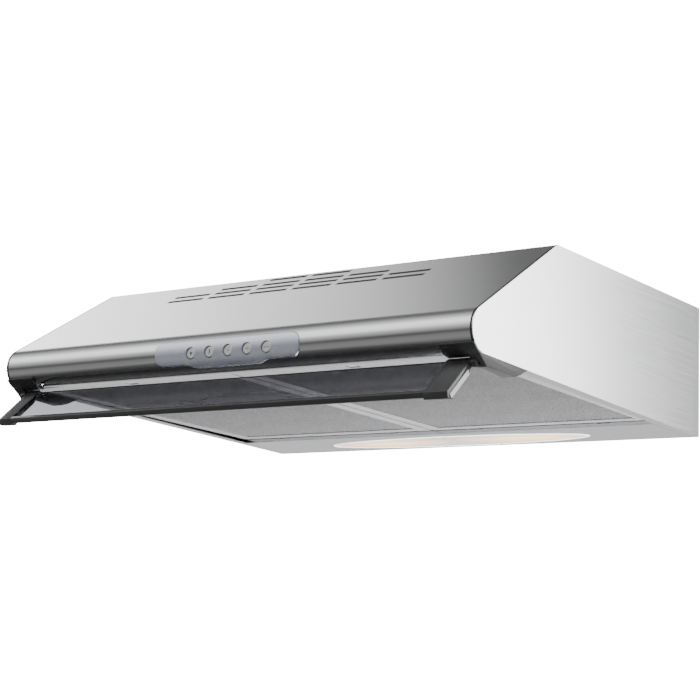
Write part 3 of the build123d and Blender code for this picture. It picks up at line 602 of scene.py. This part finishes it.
# ---- controls ----
class HOOD_OT_controls(bpy.types.Operator):
    """Silver control plate, push buttons and the switch block behind them"""

    bl_idname = "hood.controls"
    bl_label = "Controls"

    def execute(self, context):
        colours = context.scene.hood_colours
        silver = lacquered_silver("silver_lacquered_abs", list(colours.fascia))
        self.fascia(silver)
        give(lacquered_silver("satin_chromed_abs", linear("#d6d7d8"), 0.4, 0.16, 1.0), *BUTTONS)
        give(moulded("grey_pa66", linear("#161718"), 0.6), "switch_block")
        self.marks(lacquered_silver("dark_chromed_abs", linear("#55584f"), 0.4, 0.25, 0.6))
        return {"FINISHED"}

    def corner(self, x, z, first):
        """Points round one corner of the plate, from a starting angle in degrees."""
        turns = [math.radians(first + i * 90 / CORNER_STEPS) for i in range(CORNER_STEPS + 1)]
        return [(x + PLATE_CORNER * math.cos(turn), z + PLATE_CORNER * math.sin(turn)) for turn in turns]

    def bulge(self, part):
        """Half-width and height on the S-shaped flank of the bulge, a part of the way down it."""
        ease = (1 - math.cos(math.pi * part)) / 2
        return BULGE_START - BULGE_RUN * part, PLATE_LOW + (BULGE_LOW - PLATE_LOW) * ease

    def outline(self):
        """The plate's outline seen from the front, in millimetres from the nose centre."""
        x, over, under = PLATE_HALF - PLATE_CORNER, PLATE_TOP - PLATE_CORNER, PLATE_LOW + PLATE_CORNER
        points = self.corner(x, over, 0) + self.corner(-x, over, 90) + self.corner(-x, under, 180)
        flank = [self.bulge(i / BULGE_STEPS) for i in range(BULGE_STEPS + 1)]
        points += [(-half, z) for half, z in flank] + flank[::-1]
        return points + self.corner(x, under, 270)

    def fascia(self, material):
        """Thin plate bent round the nose, with a fine bevel along its rim, and walled holes for the buttons."""
        middle_x = (FASCIA_LOW[0] + FASCIA_HIGH[0]) / 2
        centre_y = FASCIA_LOW[1] + (NOSE_RADIUS + PLATE) * MM
        centre_z = FASCIA_HIGH[2] - PLATE_TOP * MM
        bm = bmesh.new()
        outline = [Vector((x, 0, z)) for x, z in self.outline()]
        inner = []
        for last, spot, following in zip(outline[-1:] + outline[:-1], outline, outline[1:] + outline[:1]):
            side = (following - last).normalized().cross(Vector((0, 1, 0)))
            inner.append(spot + side * BEVEL_WIDTH)
        levels = ((outline, 0.0), (outline, PLATE - BEVEL_DROP), (inner, PLATE))
        rows = [[bm.verts.new(spot + Vector((0, -height, 0))) for spot in spots] for spots, height in levels]
        for under, over in zip(rows, rows[1:]):
            for i, corner in enumerate(under):
                after = (i + 1) % len(under)
                bm.faces.new((corner, under[after], over[after], over[i]))
        edges = [bm.edges.get((a, b)) for a, b in zip(rows[2], rows[2][1:] + rows[2][:1])]
        holes = []
        for name in BUTTONS:
            low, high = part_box(name)
            x, z = (low[0] + high[0]) / 2 - middle_x, (low[2] + high[2]) / 2 - centre_z
            place = Matrix.Translation((x / MM, -PLATE, z / MM)) @ Matrix.Rotation(math.radians(90), 4, "X")
            ring = bmesh.ops.create_circle(bm, radius=HOLE_RADIUS, segments=HOLE_SEGMENTS, matrix=place)["verts"]
            holes += list({e for v in ring for e in v.link_edges})
        bmesh.ops.triangle_fill(bm, use_beauty=True, edges=edges + holes)
        walls = bmesh.ops.extrude_edge_only(bm, edges=holes)["geom"]
        bmesh.ops.translate(bm, verts=[g for g in walls if isinstance(g, bmesh.types.BMVert)], vec=(0, PLATE, 0))
        for height in range(math.ceil(BULGE_LOW), int(PLATE_TOP)):
            bmesh.ops.bisect_plane(
                bm, geom=bm.verts[:] + bm.edges[:] + bm.faces[:], plane_co=(0, 0, height), plane_no=(0, 0, 1)
            )
        for v in bm.verts:
            radius = NOSE_RADIUS - v.co.y
            v.co = (
                middle_x + v.co.x * MM,
                centre_y - math.sqrt(radius**2 - v.co.z**2) * MM,
                centre_z + v.co.z * MM,
            )
        finish_piece(bm, "fascia_plate", material, "hood", "fascia_silver", "control_fascia", smooth=24)

    def marks(self, material):
        """Raised symbol on each cap: a wedge for the lamp, a bar for stop, one to three pips for the speeds."""
        for name in BUTTONS:
            low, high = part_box(name)
            x, y, z = (low[0] + high[0]) / 2, low[1], (low[2] + high[2]) / 2
            bm = bmesh.new()
            face = Matrix.Translation((x, y, z)) @ Matrix.Rotation(math.radians(90), 4, "X")
            if name == "button_light":
                wedge = bmesh.ops.create_cone(
                    bm, segments=3, radius1=WEDGE_FOOT * MM, radius2=WEDGE_TOP * MM, depth=MARK_HEIGHT * MM,
                    cap_ends=True, matrix=face,
                )
                over = Matrix.Rotation(math.pi, 3, "Y")
                bmesh.ops.rotate(bm, verts=wedge["verts"], cent=(x, y, z), matrix=over)
            elif name == "button_stop":
                across, along, out = STOP_HALF_WIDTH * MM, STOP_HALF_LENGTH * MM, STOP_HALF_HEIGHT * MM
                add_bar(bm, face, -across, across, -along, along, -out, out)
            else:
                count = int(name[-1])
                for i in range(count):
                    shift = Matrix.Translation(((i - (count - 1) / 2) * PIP_PITCH * MM, 0, 0))
                    bmesh.ops.create_cone(
                        bm, segments=16, radius1=PIP_FOOT * MM, radius2=PIP_TOP * MM, depth=MARK_HEIGHT * MM,
                        cap_ends=True, matrix=face @ shift,
                    )
            finish_piece(bm, name.replace("button", "mark"), material, name, "button_silver")


# ---- filters ----
class HOOD_OT_filters(bpy.types.Operator):
    """Grease filters: folded frames, expanded mesh and sliding catches"""

    bl_idname = "hood.filters"
    bl_label = "Grease filters"

    def execute(self, context):
        sizes, colours = context.scene.hood_sizes, context.scene.hood_colours
        foil = expanded_foil("expanded_aluminium_foil", list(colours.foil))
        rim = expanded_foil("folded_foil_border", shade(list(colours.foil), 0.72))
        dark = moulded("shadowed_crimp_slot", linear("#2c2d30"), 0.7)
        catch = moulded("grey_acetal", linear("#8f9193"), 0.4)
        for side in SIDES:
            give(rim, f"filter_frame_{side}")
            give(foil, f"filter_mesh_{side}")
            give(catch, f"filter_latch_{side}")
            self.lattice(side, foil, sizes)
            self.crimps(side, dark)
        return {"FINISHED"}

    def lattice(self, side, material, sizes):
        """Expanded metal: a diamond net of flat strands, trimmed to the frame's window."""
        seat, low, high = plane_of(f"filter_frame_{side}")
        border = NET_BORDER * MM
        x0, x1 = low.x + border, high.x - border
        y0, y1 = low.y + border, high.y - border
        long, short = sizes.diamond_long, sizes.diamond_short
        count = int(max((x1 - x0) / long, (y1 - y0) / short)) + NET_SPARE
        bm = bmesh.new()
        bmesh.ops.create_grid(bm, x_segments=2 * count, y_segments=2 * count, size=count / math.sqrt(2))
        bmesh.ops.rotate(bm, verts=bm.verts, cent=(0, 0, 0), matrix=Matrix.Rotation(math.radians(45), 3, "Z"))
        bmesh.ops.scale(bm, verts=bm.verts, vec=(long, short, 1))
        bmesh.ops.translate(bm, verts=bm.verts, vec=((x0 + x1) / 2, (y0 + y1) / 2, 0))
        cuts = (
            ((x0, 0, 0), (-1, 0, 0)), ((x1, 0, 0), (1, 0, 0)), ((0, y0, 0), (0, -1, 0)), ((0, y1, 0), (0, 1, 0)),
        )
        for spot, way in cuts:
            bmesh.ops.bisect_plane(
                bm, geom=bm.verts[:] + bm.edges[:] + bm.faces[:], plane_co=spot, plane_no=way, clear_outer=True
            )
        bmesh.ops.wireframe(
            bm, faces=bm.faces[:], thickness=sizes.strand, offset=0, use_replace=True, use_boundary=True,
            use_even_offset=False,
        )
        bmesh.ops.translate(bm, verts=bm.verts, vec=(0, 0, -NET_DEPTH * MM))
        bmesh.ops.transform(bm, verts=bm.verts, matrix=seat)
        finish_piece(bm, f"expanded_net_{side}", material, f"filter_{side}", "filter_aluminium")

    def crimps(self, side, material):
        """A row of short punched slots where the rear border grips the foil, drawn as thin dark blocks whose
        colour is the slots' painted shade.
        """
        seat, low, high = plane_of(f"filter_frame_{side}")
        pitch, length, width, inset = CRIMP_PITCH * MM, CRIMP_LENGTH * MM, CRIMP_WIDTH * MM, CRIMP_INSET * MM
        rear = high.y - inset if seat.to_3x3().col[1].y > 0 else low.y + inset
        count = int((high.x - low.x - CRIMP_ENDS * MM) / pitch)
        bm = bmesh.new()
        for i in range(count):
            x = low.x + CRIMP_START * MM + i * pitch
            add_bar(
                bm, seat, x, x + length, rear - width / 2, rear + width / 2, CRIMP_FLOOR * MM, CRIMP_FACE * MM
            )
        finish_piece(bm, f"crimp_slots_{side}", material, f"filter_{side}", "filter_aluminium")


# ---- lamp ----
class HOOD_OT_lamp(bpy.types.Operator):
    """Opal lens, bulbs, holders and hinge pins"""

    bl_idname = "hood.lamp"
    bl_label = "Lamp"

    def execute(self, context):
        colours = context.scene.hood_colours
        middle = (Vector(LENS_LOW) + Vector(LENS_HIGH)) / 2
        bulbs = []
        for side in SIDES:
            low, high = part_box(f"lamp_bulb_{side}")
            bulbs.append((low[0] + high[0]) / 2)
        give(opal_lens("ribbed_opal_acrylic", list(colours.lens), middle, bulbs), "lamp_lens")
        give(lit_bulb("frosted_lamp_glass"), "lamp_bulb_left", "lamp_bulb_right")
        give(moulded("white_steatite", linear("#e4e2da"), 0.35), "lamp_holder_left", "lamp_holder_right")
        give(plated("zinc_plated_pin", linear("#b8babd")), "lens_hinge_pins")
        self.rim(moulded("clear_moulded_rim", linear("#e6e7e6"), 0.12, 2.0, 0.01, 0.6))
        self.catches(moulded("grey_catch", linear("#7c7468"), 0.4))
        return {"FINISHED"}

    def rim(self, material):
        """Raised clear rim round the lens, just inside its edge."""
        seat, low, high = plane_of("lamp_lens")
        a, b = (high.x - low.x) / 2, LENS_HALF_DEPTH * MM
        middle = (low.y + high.y) / 2
        bm = bmesh.new()
        bmesh.ops.create_circle(bm, radius=1, segments=RIM_SEGMENTS)
        bmesh.ops.scale(bm, verts=bm.verts, vec=(a - RIM_EDGE * MM, b - RIM_EDGE * MM, 1))
        bmesh.ops.translate(bm, verts=bm.verts, vec=(0, middle, -RIM_SUNK * MM))
        edges = bm.edges[:]
        for out, inward in RIM_PROFILE:
            ring = bmesh.ops.extrude_edge_only(bm, edges=edges)["geom"]
            edges = [g for g in ring if isinstance(g, bmesh.types.BMEdge)]
            points = [g for g in ring if isinstance(g, bmesh.types.BMVert)]
            shrink = Matrix.Diagonal((1 - inward * MM / a, 1 - inward * MM / b, 1, 1))
            home = Matrix.Translation((0, middle, 0))
            bmesh.ops.transform(bm, verts=points, matrix=home @ shrink @ home.inverted())
            bmesh.ops.translate(bm, verts=points, vec=(0, 0, out * MM))
        loops = [e for e in bm.edges if e.is_boundary]
        bmesh.ops.bridge_loops(bm, edges=loops)
        bmesh.ops.transform(bm, verts=bm.verts, matrix=seat)
        finish_piece(bm, "lens_rim", material, "lens", "lens_white", smooth=50)

    def catches(self, material):
        """Two small thumb catches at the front of the lens."""
        seat, low, high = plane_of("lamp_lens")
        inset, wide, deep = CATCH_INSET * MM, CATCH_HALF_WIDTH * MM, CATCH_HALF_DEPTH * MM
        front_is_low = seat.to_3x3().col[1].y > 0
        front = low.y + inset if front_is_low else high.y - inset
        bm = bmesh.new()
        for place in CATCH_PLACES:
            x = place * MM
            verts = add_bar(
                bm, seat, x - wide, x + wide, front - deep, front + deep, CATCH_FOOT * MM, CATCH_TOP * MM
            )
            edges = list({e for v in verts for e in v.link_edges})
            bmesh.ops.bevel(
                bm, geom=edges, offset=CATCH_ROUND * MM, segments=2, profile=0.5, affect="EDGES", material=-1
            )
        finish_piece(bm, "lens_catches", material, "lens", "latch_plastic")


# ---- visor ----
class HOOD_OT_visor(bpy.types.Operator):
    """Smoked glass visor with its black edge, arms, brackets and pins"""

    bl_idname = "hood.visor"
    bl_label = "Visor"

    def execute(self, context):
        sizes, colours = context.scene.hood_sizes, context.scene.hood_colours
        black = moulded("black_satin_abs", list(colours.black), 0.36, 0.5, 0.02)
        give(smoked_glass("smoked_float_glass", list(colours.glass)), "visor_glass")
        softened("visor_edge_trim", "visor_edge", black, "visor", "black_plastic", sizes.edge)
        satin = brushed_steel("satin_anodised_strip", linear("#8e8f90"), 0.8 * MM, "Y", 0.45)
        pin = plated("zinc_plated_hinge_pin", linear("#b8babd"))
        for side in SIDES:
            softened(f"visor_arm_{side}", f"arm_{side}", black, "visor", "black_plastic", 1.2 * sizes.edge)
            softened(f"visor_bracket_{side}", f"bracket_{side}", black, "hood", "black_plastic", sizes.edge)
            give(satin, f"visor_side_strip_{side}")
            give(pin, f"visor_pin_{side}")
        return {"FINISHED"}


# ---- blower and outlet ----
class HOOD_OT_blower(bpy.types.Operator):
    """Blower housing, wheels, motor, outlet collar and damper flaps"""

    bl_idname = "hood.blower"
    bl_label = "Blower"

    def execute(self, context):
        black = moulded("black_polypropylene", linear("#232425"), 0.45, 0.9)
        white = moulded("white_polyamide", linear("#d8d7d2"), 0.45, 0.9)
        give(black, "blower_housing_upper", "blower_housing_lower", "outlet_collar")
        give(black, "damper_flap_left", "damper_flap_right")
        give(white, "impeller_left", "impeller_right")
        give(lacquered_silver("hammered_motor_paint", linear("#5a5e62"), 1.2, 0.4, 0.4), "motor_case")
        steel = plated("turned_steel", linear("#a8aaad"))
        give(steel, "motor_bearings", "motor_stator", "motor_rotor", "damper_pin", "collar_screws")
        return {"FINISHED"}


# ---- wiring ----
class HOOD_OT_wiring(bpy.types.Operator):
    """Terminal box, cable gland, capacitor and loom"""

    bl_idname = "hood.wiring"
    bl_label = "Wiring"

    def execute(self, context):
        give(moulded("black_gland_polyamide", linear("#1b1c1d"), 0.42, 0.7), "terminal_box", "cable_gland")
        give(moulded("grey_pvc_sleeve", linear("#4b4d50"), 0.5, 1.2), "wiring_loom")
        give(moulded("capacitor_can", linear("#cfcfca"), 0.38, 0.8), "capacitor")
        return {"FINISHED"}


class HOOD_PT_panel(bpy.types.Panel):
    """Sizes, colours and building steps of the range hood"""

    bl_label = "Range hood"
    bl_idname = "HOOD_PT_panel"
    bl_space_type = "VIEW_3D"
    bl_region_type = "UI"
    bl_category = "Range hood"

    def draw(self, context):
        for group in (context.scene.hood_sizes, context.scene.hood_colours):
            column = self.layout.column()
            for name in group.bl_rna.properties.keys():
                if name not in ("rna_type", "name"):
                    column.prop(group, name)
        for step in STEPS:
            self.layout.operator(step.bl_idname)


STEPS = (
    HOOD_OT_stage, HOOD_OT_canopy, HOOD_OT_controls, HOOD_OT_filters, HOOD_OT_lamp, HOOD_OT_visor,
    HOOD_OT_blower, HOOD_OT_wiring,
)
CLASSES = (HoodSizes, HoodColours, *STEPS, HOOD_PT_panel)


def register():
    """Register every class, and the two groups of settings on the scene."""
    for cls in CLASSES:
        bpy.utils.register_class(cls)
    bpy.types.Scene.hood_sizes = PointerProperty(type=HoodSizes)
    bpy.types.Scene.hood_colours = PointerProperty(type=HoodColours)


def unregister():
    """Take it all away again, in reverse order."""
    del bpy.types.Scene.hood_colours
    del bpy.types.Scene.hood_sizes
    for cls in reversed(CLASSES):
        bpy.utils.unregister_class(cls)


def main():
    """Register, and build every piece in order."""
    register()
    for step in (
        bpy.ops.hood.stage, bpy.ops.hood.canopy, bpy.ops.hood.controls, bpy.ops.hood.filters, bpy.ops.hood.lamp,
        bpy.ops.hood.visor, bpy.ops.hood.blower, bpy.ops.hood.wiring,
    ):
        step()


if __name__ == "__main__":
    main()
